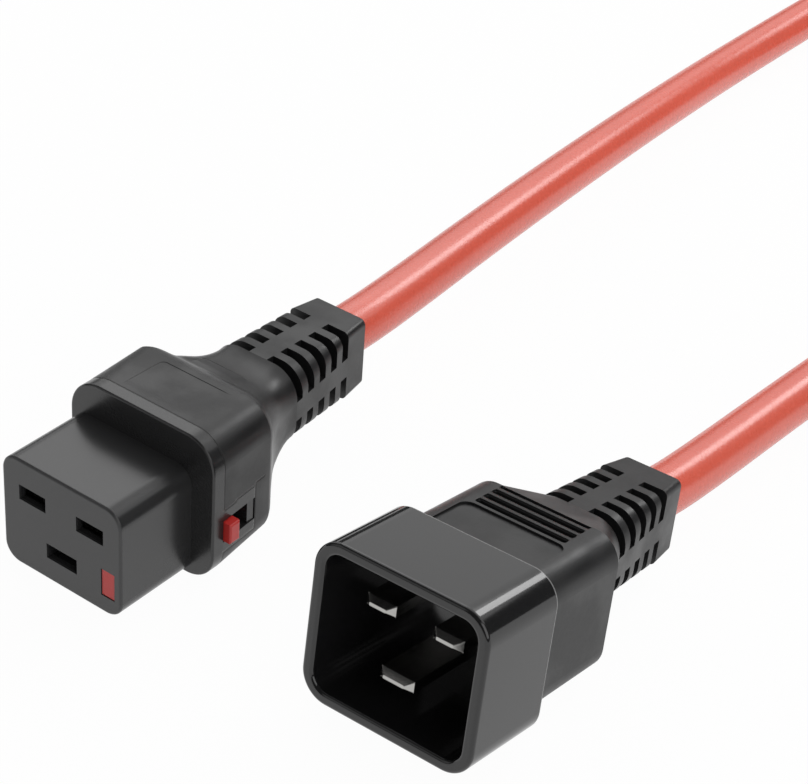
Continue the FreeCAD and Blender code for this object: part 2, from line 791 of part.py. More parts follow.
def coil_and_tubes(socket_exit, socket_heading, plug_exit, plug_heading):
    """The put-away coil with its two tails, and the two free stretches of the cable."""
    centre = (coil_centre_x, coil_centre_y)
    outer, low, upper, high = coil_layers()
    shapes = {}
    tails = []
    plans = (
        ("cord_from_socket", socket_exit, socket_heading, socket_route, outer, low, -1),
        ("cord_from_plug", plug_exit, plug_heading, plug_route, upper, high, 1),
    )
    for name, cable_exit, heading, route, radius, height, side in plans:
        last = route[-1]
        touch = tangent_point(centre, radius, last, side)
        away = Vector(last[0] - touch[0], last[1] - touch[1], 0).normalize()
        foot = Vector(touch[0], touch[1], height)
        joint = foot + away * tail_length
        tails.append(Part.makeCylinder(cable_radius, tail_length, foot, away))
        level = Vector(last[0], last[1], height)
        ends = [cable_exit - heading * cable_insert, cable_exit + heading * straight_exit]
        points = ends + [Vector(*point) for point in route[:-1]] + [level, joint]
        shapes[name] = tube_along([tuple(point) for point in points], cable_radius, name)
    inner, radius = coil_inner_turn, cable_radius - coil_inset
    profile = [
        (inner - radius, low - radius), (outer + radius, low - radius), (outer + radius, low + radius / 3),
        (upper + radius / 2, high + radius), (inner + cable_radius - radius / 2, high + radius),
        (inner - radius, low + radius / 3),
    ]
    ring_points = [Vector(distance, 0, height) for distance, height in profile]
    face = Part.Face(Part.makePolygon(ring_points + ring_points[:1]))
    ring = face.revolve(Vector(0, 0, 0), Vector(0, 0, 1), 360)
    ring.translate(Vector(centre[0], centre[1], 0))
    shapes["cord_coil"] = ring.fuse(tails)
    shapes["coil_tie"] = coil_tie(centre)
    return shapes


def coil_tie(centre):
    """Flat strap round the coil's turns, on the side away from the connectors."""
    outer, low, upper, high = coil_layers()
    left = coil_inner_turn - cable_radius - tie_clearance
    right = outer + cable_radius + tie_clearance
    top = high + cable_radius + tie_clearance

    def strip(grow):
        outline = rounded_outline(left - grow, right + grow, -grow, top + grow, grow + 1.5, -tie_width / 2)
        return Part.Face(outline).extrude(Vector(0, tie_width, 0))

    band = strip(tie_thickness).common(box(0, 2 * right, -tie_width, tie_width, 0, 2 * top))
    space = strip(0.0).common(box(0, 2 * right, -tie_width, tie_width, tie_thickness, 2 * top))
    band = band.cut(space)
    band.rotate(Vector(0, 0, 0), Vector(0, 0, 1), 90)
    band.translate(Vector(centre[0], centre[1], 0))
    return band


# ================================================================ assembly
def plug_placement(shapes):
    """Turn the plug about its rim centre, and lower it until it rests on the floor."""
    turned = FreeCAD.Placement(
        Vector(plug_offset_x, plug_offset_y, 0) + Vector(socket_shift.x, socket_shift.y, 0),
        FreeCAD.Rotation(Vector(0, 0, 1), plug_yaw_deg)
        * FreeCAD.Rotation(Vector(1, 0, 0), plug_pitch_deg)
        * FreeCAD.Rotation(Vector(0, 1, 0), plug_roll_deg),
    )
    lowest = min(
        shape.transformed(turned.toMatrix()).optimalBoundingBox(False, False).ZMin for shape in shapes.values()
    )
    turned.Base.z -= lowest
    return turned


def main():
    os.makedirs("parts", exist_ok=True)
    connector = {
        "socket_housing": socket_housing(),
        "contact_carrier": contact_carrier(),
        "terminal_retainer": terminal_retainer(),
        "lock_plate": lock_plate(),
        "return_spring": return_spring(),
        "release_slider": release_slider(),
        "release_button": release_button(),
    }
    plug = {"plug_shroud": plug_shroud(), "pin_retainer": pin_retainer()}
    body, plug_over = connector_body(), plug_body()
    for pole in pole_places:
        connector[pole + "_contact"] = contact(pole)
        connector[pole + "_core"] = socket_core(pole)
        plug[pole + "_blade"] = blade(pole)
        plug["plug_" + pole + "_core"] = plug_core(pole)
        body = body.cut(connector[pole + "_core"])
        plug_over = plug_over.cut(plug["plug_" + pole + "_core"]).cut(plug[pole + "_blade"])
    connector["connector_body"] = body
    plug["plug_body"] = plug_over

    placed = {}
    for name, shape in connector.items():
        shape.translate(socket_shift)
        placed[name] = shape
    placement = plug_placement(plug)
    for name, shape in plug.items():
        placed[name] = shape.transformed(placement.toMatrix())

    socket_exit = Vector(socket_cable_x, socket_cable_exit, socket_cable_z) + socket_shift
    plug_exit = placement.multVec(Vector(plug_cable_x, plug_cable_exit, plug_cable_z))
    plug_heading = placement.Rotation.multVec(Vector(0, 1, 0))
    placed.update(coil_and_tubes(socket_exit, Vector(0, 1, 0), plug_exit, plug_heading))

    for name, shape in placed.items():
        shape = shape.removeSplitter()
        solids = shape.Solids
        if len(solids) != 1 or not shape.isValid():
            print("CHECK %s: %d solids, valid %s" % (name, len(solids), shape.isValid()))
        shape = solids[0] if len(solids) == 1 else Part.Compound(solids)
        shape.exportStep("parts/%s.step" % name)
        print("%-20s %s  volume %.1f" % (name, shape.BoundBox, shape.Volume))
    print("plug placement", placement)


main()
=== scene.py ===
import math

import bpy
import numpy as np
from mathutils import Matrix, Vector


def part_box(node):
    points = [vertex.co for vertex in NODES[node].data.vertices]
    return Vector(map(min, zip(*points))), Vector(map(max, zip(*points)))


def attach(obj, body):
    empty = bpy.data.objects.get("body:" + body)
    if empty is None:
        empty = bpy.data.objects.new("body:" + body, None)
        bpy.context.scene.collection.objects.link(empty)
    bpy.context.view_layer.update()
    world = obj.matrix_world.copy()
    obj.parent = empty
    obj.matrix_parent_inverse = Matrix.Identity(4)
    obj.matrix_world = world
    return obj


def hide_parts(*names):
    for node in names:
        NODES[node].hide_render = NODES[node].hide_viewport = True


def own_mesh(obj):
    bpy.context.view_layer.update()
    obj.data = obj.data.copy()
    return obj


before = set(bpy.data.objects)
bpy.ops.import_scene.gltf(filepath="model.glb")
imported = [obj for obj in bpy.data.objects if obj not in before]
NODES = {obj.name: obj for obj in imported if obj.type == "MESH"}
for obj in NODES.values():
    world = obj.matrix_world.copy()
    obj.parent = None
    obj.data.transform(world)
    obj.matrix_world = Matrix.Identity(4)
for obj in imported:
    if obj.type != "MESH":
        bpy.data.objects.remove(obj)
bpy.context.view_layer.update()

bl_info = {
    "name": "Locking power lead",
    "version": (1, 0, 0),
    "blender": (4, 5, 0),
    "location": "3D View > Sidebar > Power lead",
    "description": "Dresses a locking connector, its red lead and the plug on the far end",
    "category": "Object",
}

# Route of the lead in millimetres, from the connector's bore to the coil, and from the
# coil to the plug's bore.
SOCKET_RUN = ((-1.65, 20.0, 17.55), (-1.65, 35.0, 17.55), (-1.65, 48.0, 17.55),
              (-6.45, 95.0, 16.0), (-12.8, 155.0, 12.0), (-19.8, 218.0, 5.6))
PLUG_RUN = ((84.0, 240.0, 13.914), (75.0, 195.0, 9.5), (67.9, 145.0, 6.0), (64.6, 95.0, 6.3))
COIL_CENTRE = (41.5, 322.0)
COIL_LOW, COIL_HIGH = 5.6, 13.914

# The plug's place in millimetres, its turn in degrees about Z, then its own X, then its
# own Y, and its bore from the cable's side inwards, along the plug's own axes.
PLUG_POSITION = (61.55, -29.72, 18.2975)
PLUG_TURN = (-1.52, -8.2, -2.61)
PLUG_BORE = ((0.95, 81.9, 2.8), (0.95, 68.9, 2.8), (0.95, 54.0, 2.8))

# Places that the finishes go by, in metres. On the connector, along the whole's axes: the
# nose's face, the lip's front, the joint behind the lip and the side that holds the button.
NOSE_FACE, LIP_FRONT, LIP_JOINT, CHEEK_SIDE = -0.0346, -0.01805, -0.0153, 0.013
# On the plug, along its own axes: the first groove's middle, the step to the next, the
# number of grooves, half a groove's length, half their width, and where the painted
# highlight along the shroud's rear edge starts.
GRIP_START, GRIP_PITCH, GRIP_COUNT = 0.031, 0.00225, 4
GRIP_HALF_GROOVE, GRIP_HALF_WIDTH, GRIP_LEVEL = 0.0007, 0.0089, 0.0122
PAINTED_GLINT_EDGE = 0.01755

# JOINT_SHADE below also darkens the sunk panels' outlines on the connector's top, as painted shade
JOINT_SHADE = (0.002, 0.002, 0.002)        # colour at the bottom of a fine joint
JOINT_DEPTH = 0.00012                      # its depth, in metres
WHITE = (1.0, 1.0, 1.0, 1.0)

# The return spring: its wire in metres, its turns, and how much shorter it is at the far end
# of the release's travel. That is 0.25 mm more than the 4 mm travel, so the spring's front
# end stands clear of the slider there by that much.
SPRING_WIRE, SPRING_TURNS, SPRING_SQUEEZE = 0.0003, 5.5, 0.00425

# The floor's middle and radius, and the point that all lamps face, in metres.
FLOOR_CENTRE, FLOOR_RADIUS, FLOOR_SIDES = (0.04, 0.15), 8.0, 96
LAMPS_FACE = (0.06, -0.01, 0.03)
FLOOR_GLOW = 0.97                          # share of even white in the floor as it is seen


# ------------------------------------------------------------------ user's values
class LeadSizes(bpy.types.PropertyGroup):
    diameter: bpy.props.FloatProperty(
        name="Lead diameter", description="Outside diameter of the red jacket",
        default=0.0096, min=0.004, max=0.02, unit="LENGTH", precision=4)
    length: bpy.props.FloatProperty(
        name="Lead length", description="Real length of the lead from bore to bore",
        default=1.95, min=0.5, max=5.0, unit="LENGTH")
    coil_outer: bpy.props.FloatProperty(
        name="Coil radius",
        description="Radius of the coil's outermost turn, to the jacket's middle",
        default=0.0586, min=0.03, max=0.2, unit="LENGTH", precision=4)
    coil_points: bpy.props.IntProperty(
        name="Points per turn",
        description="Control points of the lead's line in one turn of the coil",
        default=16, min=12, max=32)


class FinishColours(bpy.types.PropertyGroup):
    shell: bpy.props.FloatVectorProperty(
        name="Connector shell", description="Colour of the connector's hard nose and collar",
        subtype="COLOR", size=3, default=(0.02, 0.02, 0.0205), min=0.0, max=1.0)
    moulding: bpy.props.FloatVectorProperty(
        name="Grip moulding", description="Colour of the soft moulding round both cable ends",
        subtype="COLOR", size=3, default=(0.013, 0.013, 0.0135), min=0.0, max=1.0)
    shroud: bpy.props.FloatVectorProperty(
        name="Plug shroud", description="Colour of the plug's glossy shroud",
        subtype="COLOR", size=3, default=(0.011, 0.011, 0.0115), min=0.0, max=1.0)
    release: bpy.props.FloatVectorProperty(
        name="Release red", description="Colour of the release slider and its button",
        subtype="COLOR", size=3, default=(0.66, 0.03, 0.025), min=0.0, max=1.0)
    jacket: bpy.props.FloatVectorProperty(
        name="Lead jacket", description="Colour of the lead's jacket",
        subtype="COLOR", size=3, default=(0.83, 0.135, 0.085), min=0.0, max=1.0)
    plating: bpy.props.FloatVectorProperty(
        name="Contact plating", description="Colour of the plated blades and contacts",
        subtype="COLOR", size=3, default=(0.42, 0.415, 0.40), min=0.0, max=1.0)


class StudioSettings(bpy.types.PropertyGroup):
    lens: bpy.props.FloatProperty(
        name="Lens", description="Focal length of the camera in millimetres",
        default=103.1, min=20.0, max=300.0)
    azimuth: bpy.props.FloatProperty(
        name="Azimuth", description="Turn of the camera to the object's right of its nose",
        default=math.radians(35.2404), unit="ROTATION")
    elevation: bpy.props.FloatProperty(
        name="Elevation", description="Height of the camera above the horizon",
        default=math.radians(34.1134), unit="ROTATION")
    roll: bpy.props.FloatProperty(
        name="Roll", description="Turn of the camera about its own axis",
        default=math.radians(4.3206), unit="ROTATION")
    place: bpy.props.FloatVectorProperty(
        name="Camera place", description="Where the camera stands",
        subtype="TRANSLATION", unit="LENGTH", size=3, default=(0.214499, -0.248151, 0.247591))
    room_light: bpy.props.FloatProperty(
        name="Room light", description="Brightness of the even light all round",
        default=0.07, min=0.0, max=2.0)
    top_light: bpy.props.FloatProperty(
        name="Top light", description="Brightness of the wide lamp above",
        default=1.15, min=0.0, max=5.0)
    back_light: bpy.props.FloatProperty(
        name="Back light", description="Brightness of the wide lamp behind the object",
        default=1.05, min=0.0, max=5.0)
    strip_light: bpy.props.FloatProperty(
        name="Strip light", description="Brightness of the narrow lamp behind the object",
        default=5.4, min=0.0, max=10.0)
    right_light: bpy.props.FloatProperty(
        name="Right light", description="Brightness of the lamp at the camera's right",
        default=1.6, min=0.0, max=5.0)
    front_light: bpy.props.FloatProperty(
        name="Front light", description="Brightness of the lamp at the camera's left",
        default=0.5, min=0.0, max=5.0)


# ------------------------------------------------------------------ node helpers
class Finish:
    """One material as a chain of nodes that ends in a Principled surface."""

    def __init__(self, name, colour, roughness, **settings):
        self.material = bpy.data.materials.new(name)
        self.material.use_nodes = True
        self.tree = self.material.node_tree
        self.tree.nodes.clear()
        self.surface = self.node("ShaderNodeBsdfPrincipled")
        out = self.node("ShaderNodeOutputMaterial")
        self.join(self.surface.outputs[0], out.inputs["Surface"])
        self.surface.inputs["Base Color"].default_value = (*colour, 1.0)
        self.surface.inputs["Roughness"].default_value = roughness
        for socket, value in settings.items():
            self.surface.inputs[socket.replace("_", " ")].default_value = value
        self.material.diffuse_color = (*colour, 1.0)
        self.place = self.node("ShaderNodeTexCoord").outputs["Object"]
        self.height = None

    def node(self, kind, **inputs):
        made = self.tree.nodes.new(kind)
        for socket, value in inputs.items():
            self.feed(made.inputs[socket.replace("_", " ")], value)
        return made

    def join(self, out, socket):
        self.tree.links.new(out, socket)

    def feed(self, socket, value):
        if isinstance(value, bpy.types.NodeSocket):
            self.join(value, socket)
        else:
            socket.default_value = value

    def maths(self, operation, *values):
        made = self.node("ShaderNodeMath")
        made.operation = operation
        for socket, value in zip(made.inputs, values):
            self.feed(socket, value)
        return made.outputs[0]

    def axes(self):
        """The place's X, Y and Z, in metres."""
        return self.node("ShaderNodeSeparateXYZ", Vector=self.place).outputs

    def ramp(self, value, low, high):
        """0 where value is at low or under, 1 at high or over, an S curve between."""
        made = self.node("ShaderNodeMapRange")
        made.interpolation_type = "SMOOTHSTEP"
        self.feed(made.inputs["Value"], value)
        made.inputs["From Min"].default_value = low
        made.inputs["From Max"].default_value = high
        return made.outputs["Result"]

    def stretch(self, scale):
        """The place with each axis counted that many times faster."""
        return self.node("ShaderNodeMapping", Vector=self.place, Scale=scale).outputs[0]

    def noise(self, scale, detail=2.0, rough=0.5, vector=None):
        made = self.node("ShaderNodeTexNoise", Vector=vector or self.place)
        made.inputs["Scale"].default_value = scale
        made.inputs["Detail"].default_value = detail
        made.inputs["Roughness"].default_value = rough
        return made.outputs["Fac"]

    def span(self, value, low, high):
        """low + (high - low) times value."""
        made = self.node("ShaderNodeMapRange")
        self.feed(made.inputs["Value"], value)
        made.inputs["To Min"].default_value = low
        made.inputs["To Max"].default_value = high
        return made.outputs["Result"]

    def blend(self, share, first, second):
        """first where share is 0 and second where it is 1."""
        made = self.node("ShaderNodeMix")
        made.data_type = "RGBA"
        self.feed(made.inputs["Factor"], share)
        sockets = [s for s in made.inputs if s.type == "RGBA"]
        for socket, value in zip(sockets, (first, second)):
            self.feed(socket, (*value, 1.0) if isinstance(value, tuple) else value)
        return [s for s in made.outputs if s.type == "RGBA"][0]

    def stroke(self, across, at, along, start, end, width=0.0003, soft=0.0004):
        """1 on a straight line that thin, 0 away from it and past its ends."""
        off = self.maths("ABSOLUTE", self.maths("SUBTRACT", across, at))
        within = self.maths("MULTIPLY", self.ramp(along, start - soft, start + soft),
                            self.ramp(along, end + soft, end - soft))
        return self.maths("MULTIPLY", self.ramp(off, width, 0.35 * width), within)

    def from_frame(self, u, v, low, high, radius):
        """Distance from a rounded rectangle's outline, negative inside: how far the point is
        outside the rectangle of the corners' middles, less the radius."""
        over = []
        for value, near, far in ((u, low[0], high[0]), (v, low[1], high[1])):
            off = self.maths("ABSOLUTE", self.maths("SUBTRACT", value, (near + far) / 2.0))
            over.append(self.maths("SUBTRACT", off, (far - near) / 2.0 - radius))
        outside = [self.maths("MAXIMUM", value, 0.0) for value in over]
        squares = [self.maths("MULTIPLY", value, value) for value in outside]
        length = self.maths("SQRT", self.maths("ADD", *squares))
        inside = self.maths("MINIMUM", self.maths("MAXIMUM", *over), 0.0)
        return self.maths("SUBTRACT", self.maths("ADD", length, inside), radius)

    def all_of(self, *values):
        product = values[0]
        for value in values[1:]:
            product = self.maths("MULTIPLY", product, value)
        return product

    def any_of(self, *values):
        highest = values[0]
        for value in values[1:]:
            highest = self.maths("MAXIMUM", highest, value)
        return highest

    def relief(self, height, depth, strength=1.0):
        """Adds a bump of that height field, depth metres high, over the bumps before it."""
        made = self.node("ShaderNodeBump")
        made.inputs["Strength"].default_value = strength
        made.inputs["Distance"].default_value = depth
        self.feed(made.inputs["Height"], height)
        if self.height is not None:
            self.join(self.height, made.inputs["Normal"])
        self.height = made.outputs[0]
        return self

    def done(self, colour=None, roughness=None):
        for socket, value in (("Base Color", colour), ("Roughness", roughness),
                              ("Normal", self.height)):
            if value is not None:
                self.feed(self.surface.inputs[socket], value)
        return self.material


def tone(colour, factor):
    """The colour times one factor, kept between 0 and 1."""
    return tuple(float(c) for c in np.clip(np.array(colour) * factor, 0.0, 1.0))


def dress(material, *names):
    """Gives the named CAD pieces that finish."""
    for name in names:
        slots = NODES[name].data.materials
        slots.clear()
        slots.append(material)


# ------------------------------------------------------------------ finishes
def shell_finish(colours):
    """Matt nose and a smooth black lip and cheek. The nose is painted a tone lighter than the lip
    and its face lighter still: painted light, for the floor's light that the nose catches.
    """
    f = Finish("hard_shell_satin", colours.shell, 0.24)
    x, y, z = f.axes()
    face = f.ramp(y, NOSE_FACE + 0.0002, NOSE_FACE - 0.0002)
    nose = f.ramp(y, LIP_FRONT + 0.00015, LIP_FRONT - 0.00015)
    fine = f.noise(1900.0, 3.0, 0.6)
    f.relief(fine, 0.00002, 0.3).relief(f.noise(150.0, 2.0), 0.00006, 0.12)
    shade = f.blend(f.noise(70.0), tone(colours.shell, 0.85), tone(colours.shell, 1.2))
    lines = f.all_of(f.ramp(x, CHEEK_SIDE, CHEEK_SIDE + 0.0004), cheek_lines(f, y, z))
    f.relief(f.maths("SUBTRACT", 1.0, lines), JOINT_DEPTH, 0.6)
    # painted light: the whole nose a tone lighter, then its face lighter still, for the floor's
    # light they catch
    shade = f.blend(nose, shade, tone(colours.shell, 1.5))
    shade = f.blend(face, shade, tone(colours.shell, 2.05))
    return f.done(f.blend(lines, shade, JOINT_SHADE),
                  f.maths("ADD", f.span(fine, 0.2, 0.28), f.maths("MULTIPLY", face, 0.14)))


def cheek_lines(f, y, z):
    """The fine joints round the cheek that holds the button, on the connector's side."""
    return f.any_of(
        f.stroke(z, 0.01452, y, -0.0154, -0.0120), f.stroke(z, 0.01492, y, -0.0120, -0.0066),
        f.stroke(y, -0.0120, z, 0.0144, 0.0150), f.stroke(y, -0.00675, z, 0.0058, 0.0152),
        f.stroke(z, 0.0058, y, -0.0154, -0.0066), f.stroke(z, 0.01545, y, -0.0066, -0.0042),
    )


def moulding_base(name, colours):
    """Black grip moulding: fine sparks of texture over a slow swell."""
    f = Finish(name, colours.moulding, 0.3, Specular_IOR_Level=0.42)
    f.fine = f.noise(1500.0, 3.0, 0.6)
    f.relief(f.fine, 0.00003, 0.35).relief(f.noise(230.0, 2.0), 0.00007, 0.2)
    f.shade = f.blend(f.noise(55.0), tone(colours.moulding, 0.85), tone(colours.moulding, 1.2))
    f.sheen = f.maths("ADD", f.span(f.fine, 0.32, 0.41),
                     f.span(f.ramp(f.noise(110.0, 3.0), 0.35, 0.65), -0.05, 0.09))
    return f


def body_finish(colours):
    """The connector's moulding, with its joints and the two bare sunk panels on top, whose outlines
    are darkened as painted shade at their sunk edges.
    """
    f = moulding_base("connector_moulding", colours)
    x, y, z = f.axes()
    seam = f.stroke(y, LIP_JOINT, x, -0.03, 0.03, 0.0002)
    side = f.all_of(f.ramp(x, CHEEK_SIDE, CHEEK_SIDE + 0.0004), cheek_lines(f, y, z))
    panels = []
    for low, high, level in (((-0.0083, -0.0200), (0.0110, -0.0044), 0.027),
                             ((-0.0076, -0.0040), (0.0070, 0.0053), 0.0225)):
        away = f.from_frame(x, y, low, high, 0.0011)
        fade = f.all_of(f.ramp(z, level, level + 0.0005),
                        f.ramp(y, low[1] + 0.0055, low[1] + 0.0075),
                        f.ramp(x, high[0] - 0.0035, high[0] - 0.0065))
        f.relief(f.all_of(f.ramp(away, 0.00012, -0.00012), fade), -0.00015, 0.8)
        # painted shade: a dark line round each panel's outline, for the shade at its sunk edge
        panels.append(f.all_of(f.ramp(f.maths("ABSOLUTE", away), 0.00028, 0.0001), fade))
    # dark joints, and the panels' outlines darkened towards the same colour as painted shade
    lines = f.any_of(seam, side, f.maths("MULTIPLY", f.any_of(*panels), 0.8))
    f.relief(f.maths("SUBTRACT", 1.0, f.any_of(seam, side)), JOINT_DEPTH, 0.6)
    return f.done(f.blend(lines, f.shade, JOINT_SHADE), f.sheen)


def plug_axes(f):
    """The place on a piece of the plug, counted along the plug's own axes."""
    turn = plug_frame()
    mapping = f.node("ShaderNodeMapping", Vector=f.place)
    mapping.vector_type = "TEXTURE"
    mapping.inputs["Location"].default_value = tuple(0.001 * v for v in turn.to_translation())
    mapping.inputs["Rotation"].default_value = turn.to_euler("XYZ")
    return f.node("ShaderNodeSeparateXYZ", Vector=mapping.outputs[0]).outputs


def plug_body_finish(colours):
    """The plug's moulding, worked out in the plug's own frame: rounded lands between the
    grip's grooves, as a height that falls with the square of the way from a land's middle."""
    f = moulding_base("plug_moulding", colours)
    x, y, z = plug_axes(f)
    way = f.maths("SUBTRACT", GRIP_PITCH / 2,
                  f.maths("PINGPONG", f.maths("SUBTRACT", y, GRIP_START), GRIP_PITCH / 2))
    crest = f.maths("MULTIPLY", f.maths("MULTIPLY", way, way), 1e6)
    front = GRIP_START - GRIP_HALF_GROOVE
    rear = GRIP_START + (GRIP_COUNT - 1) * GRIP_PITCH + GRIP_HALF_GROOVE
    on_grip = f.all_of(f.ramp(z, GRIP_LEVEL, GRIP_LEVEL + 0.0002),
                       f.ramp(y, front, front + 0.0002), f.ramp(y, rear, rear - 0.0002),
                       f.ramp(f.maths("ABSOLUTE", x), GRIP_HALF_WIDTH, GRIP_HALF_WIDTH - 0.0002))
    f.relief(f.maths("MULTIPLY", crest, on_grip), -0.001, 0.9)
    return f.done(f.shade, f.sheen)


def shroud_finish(colours):
    """Glossy black shroud, nearly a mirror, with the faint waves of a moulding and a thin pale
    line where its rear edge meets the plug's body: a painted highlight of that edge."""
    f = Finish("plug_shroud_gloss", colours.shroud, 0.1, Specular_IOR_Level=0.6)
    f.relief(f.noise(170.0, 2.0), 0.00004, 0.1)
    y = plug_axes(f)[1]
    # painted highlight: a pale broken line along the shroud's rear edge, also rougher there
    painted_glint = f.maths("MULTIPLY", f.ramp(y, PAINTED_GLINT_EDGE, PAINTED_GLINT_EDGE + 0.00015),
                   f.span(f.noise(420.0, 2.0), 0.5, 1.0))
    shade = f.blend(f.noise(60.0), tone(colours.shroud, 0.85), tone(colours.shroud, 1.2))
    rough = f.maths("ADD", f.span(f.noise(900.0, 2.0), 0.07, 0.13), f.maths("MULTIPLY", painted_glint, 0.3))
    return f.done(f.blend(painted_glint, shade, (0.3, 0.3, 0.3)), rough)


def carrier_finish(colours):
    """Dull dark moulding of the carriers that hold contacts and blades."""
    f = Finish("contact_carrier_moulding", (0.03, 0.03, 0.031), 0.5)
    f.relief(f.noise(1400.0, 2.0), 0.00004, 0.4)
    return f.done(f.blend(f.noise(90.0), (0.026, 0.026, 0.027), (0.036, 0.036, 0.037)))


def release_finish(colours):
    """Bright red moulding with a faint grain."""
    f = Finish("release_red", colours.release, 0.34)
    f.relief(f.noise(1600.0, 2.0), 0.00003, 0.4)
    return f.done(f.blend(f.noise(140.0), tone(colours.release, 0.88), tone(colours.release, 1.12)),
                  f.span(f.noise(1100.0), 0.28, 0.4))


def jacket_finish(colours):
    """Smooth red jacket with slow dents along it and a fine grain."""
    f = Finish("lead_jacket_red", colours.jacket, 0.26, Specular_IOR_Level=0.8)
    broad = f.noise(38.0, 3.0)
    f.relief(f.noise(1300.0, 2.0), 0.00003, 0.25).relief(f.noise(150.0, 2.0), 0.00008, 0.2)
    return f.done(f.blend(broad, tone(colours.jacket, 0.93), tone(colours.jacket, 1.07)),
                  f.span(f.noise(700.0), 0.22, 0.32))


def plating_finish(colours):
    """Plated metal, brushed along the blades."""
    f = Finish("contact_plating", colours.plating, 0.22, Metallic=1.0)
    brushed = f.noise(1.0, 3.0, 0.6, f.stretch((3200.0, 160.0, 3200.0)))
    f.relief(brushed, 0.00002, 0.35)
    return f.done(f.blend(f.noise(120.0), tone(colours.plating, 0.93), tone(colours.plating, 1.05)),
                  f.span(brushed, 0.16, 0.3))


def steel_finish(name, colour, roughness):
    """Steel with the streaks of rolling."""
    f = Finish(name, colour, roughness, Metallic=1.0)
    rolled = f.noise(1.0, 2.0, 0.5, f.stretch((900.0, 900.0, 5200.0)))
    f.relief(rolled, 0.00002, 0.3)
    return f.done(f.blend(f.noise(200.0), tone(colour, 0.85), tone(colour, 1.1)),
                  f.span(rolled, roughness * 0.8, roughness * 1.3))


def insulation_finish(name, colour):
    """Coloured insulation of one core."""
    f = Finish(name, colour, 0.38)
    f.relief(f.noise(900.0), 0.00004, 0.3)
    return f.done(f.blend(f.noise(160.0), tone(colour, 0.9), tone(colour, 1.1)))


def strap_finish():
    """Dark woven strap round the coil."""
    f = Finish("coil_strap", (0.02, 0.02, 0.021), 0.6, Sheen_Weight=0.3)
    weave = f.node("ShaderNodeTexWave", Vector=f.place)
    weave.inputs["Scale"].default_value = 320.0
    weave.inputs["Distortion"].default_value = 1.5
    f.relief(weave.outputs["Fac"], 0.0001, 0.5)
    return f.done(f.blend(weave.outputs["Fac"], (0.015, 0.015, 0.016), (0.03, 0.03, 0.031)))


# ------------------------------------------------------------------ the lead's line
def plug_frame():
    """The plug's placement: turned about Z, then its own X, then its own Y, then moved."""
    z, x, y = (math.radians(a) for a in PLUG_TURN)
    turn = Matrix.Rotation(z, 4, "Z") @ Matrix.Rotation(x, 4, "X") @ Matrix.Rotation(y, 4, "Y")
    return Matrix.Translation(PLUG_POSITION) @ turn


def coil_line(sizes):
    """Control points of the coil's turns, in millimetres.

    The angle falls evenly, clockwise from above; the radius eases from one turn's to the
    next over the end of each turn, and the height rises once, by half a cosine, where the
    lead climbs from the bottom layer to the one that lies on it.  Every radius is divided
    by (3 + cos step) / 4, by which the line cuts inside its control points.
    """
    outer = sizes.coil_outer * 1000.0
    pitch = sizes.diameter * 1000.0
    step = 2.0 * math.pi / sizes.coil_points
    start, end = coil_feet(outer, pitch)
    turns = 4.0 + ((start - end) / (2.0 * math.pi)) % 1.0
    count = int(round(turns * sizes.coil_points))
    along = np.linspace(0.0, turns, count + 1)

    def ease(at, width):
        return 0.5 - 0.5 * np.cos(np.pi * np.clip((along - at) / width, 0.0, 1.0))

    radius = outer - pitch * ease(0.8, 0.4) - pitch * ease(1.8, 0.4)
    radius = radius + 0.5 * pitch * ease(2.75, 0.35) + pitch * ease(3.75, 0.4)
    height = COIL_LOW + (COIL_HIGH - COIL_LOW) * ease(2.7, 0.45)
    angle = start - 2.0 * np.pi * along
    radius = radius / ((3.0 + math.cos(step)) / 4.0)
    return np.stack([COIL_CENTRE[0] + radius * np.cos(angle),
                     COIL_CENTRE[1] + radius * np.sin(angle), height], axis=1)


def coil_feet(outer, pitch):
    """Angles at which the two tails touch their turns: each from a line that is square to
    the turn's radius, on the left of the middle for the connector's tail and on the right
    for the plug's."""
    feet = []
    for tail, radius, side in ((SOCKET_RUN[-1], outer, -1.0),
                               (PLUG_RUN[0], outer - 0.5 * pitch, 1.0)):
        dx, dy = tail[0] - COIL_CENTRE[0], tail[1] - COIL_CENTRE[1]
        reach = math.hypot(dx, dy)
        feet.append(math.atan2(dy, dx) + side * math.acos(radius / reach))
    return feet


def lead_line(sizes):
    """All control points of the lead, in metres."""
    plug = plug_frame()
    bore = [tuple(plug @ Vector(p)) for p in PLUG_BORE]
    points = [*SOCKET_RUN, *map(tuple, coil_line(sizes)), *PLUG_RUN, *bore]
    return np.array(points) * 0.001


def tube(name, points, diameter, material):
    """A round bar of that diameter along a smooth line led by the points."""
    line = bpy.data.curves.new(name, "CURVE")
    line.dimensions = "3D"
    line.bevel_depth = diameter / 2.0
    line.bevel_resolution = 7
    line.resolution_u = 10
    line.use_fill_caps = True
    spline = line.splines.new("NURBS")
    spline.points.add(len(points) - 1)
    spline.points.foreach_set("co", np.c_[points, np.ones(len(points))].ravel())
    spline.order_u = 3
    spline.use_endpoint_u = True
    spline.use_smooth = True
    line.materials.append(material)
    piece = bpy.data.objects.new(name, line)
    bpy.context.scene.collection.objects.link(piece)
    return piece


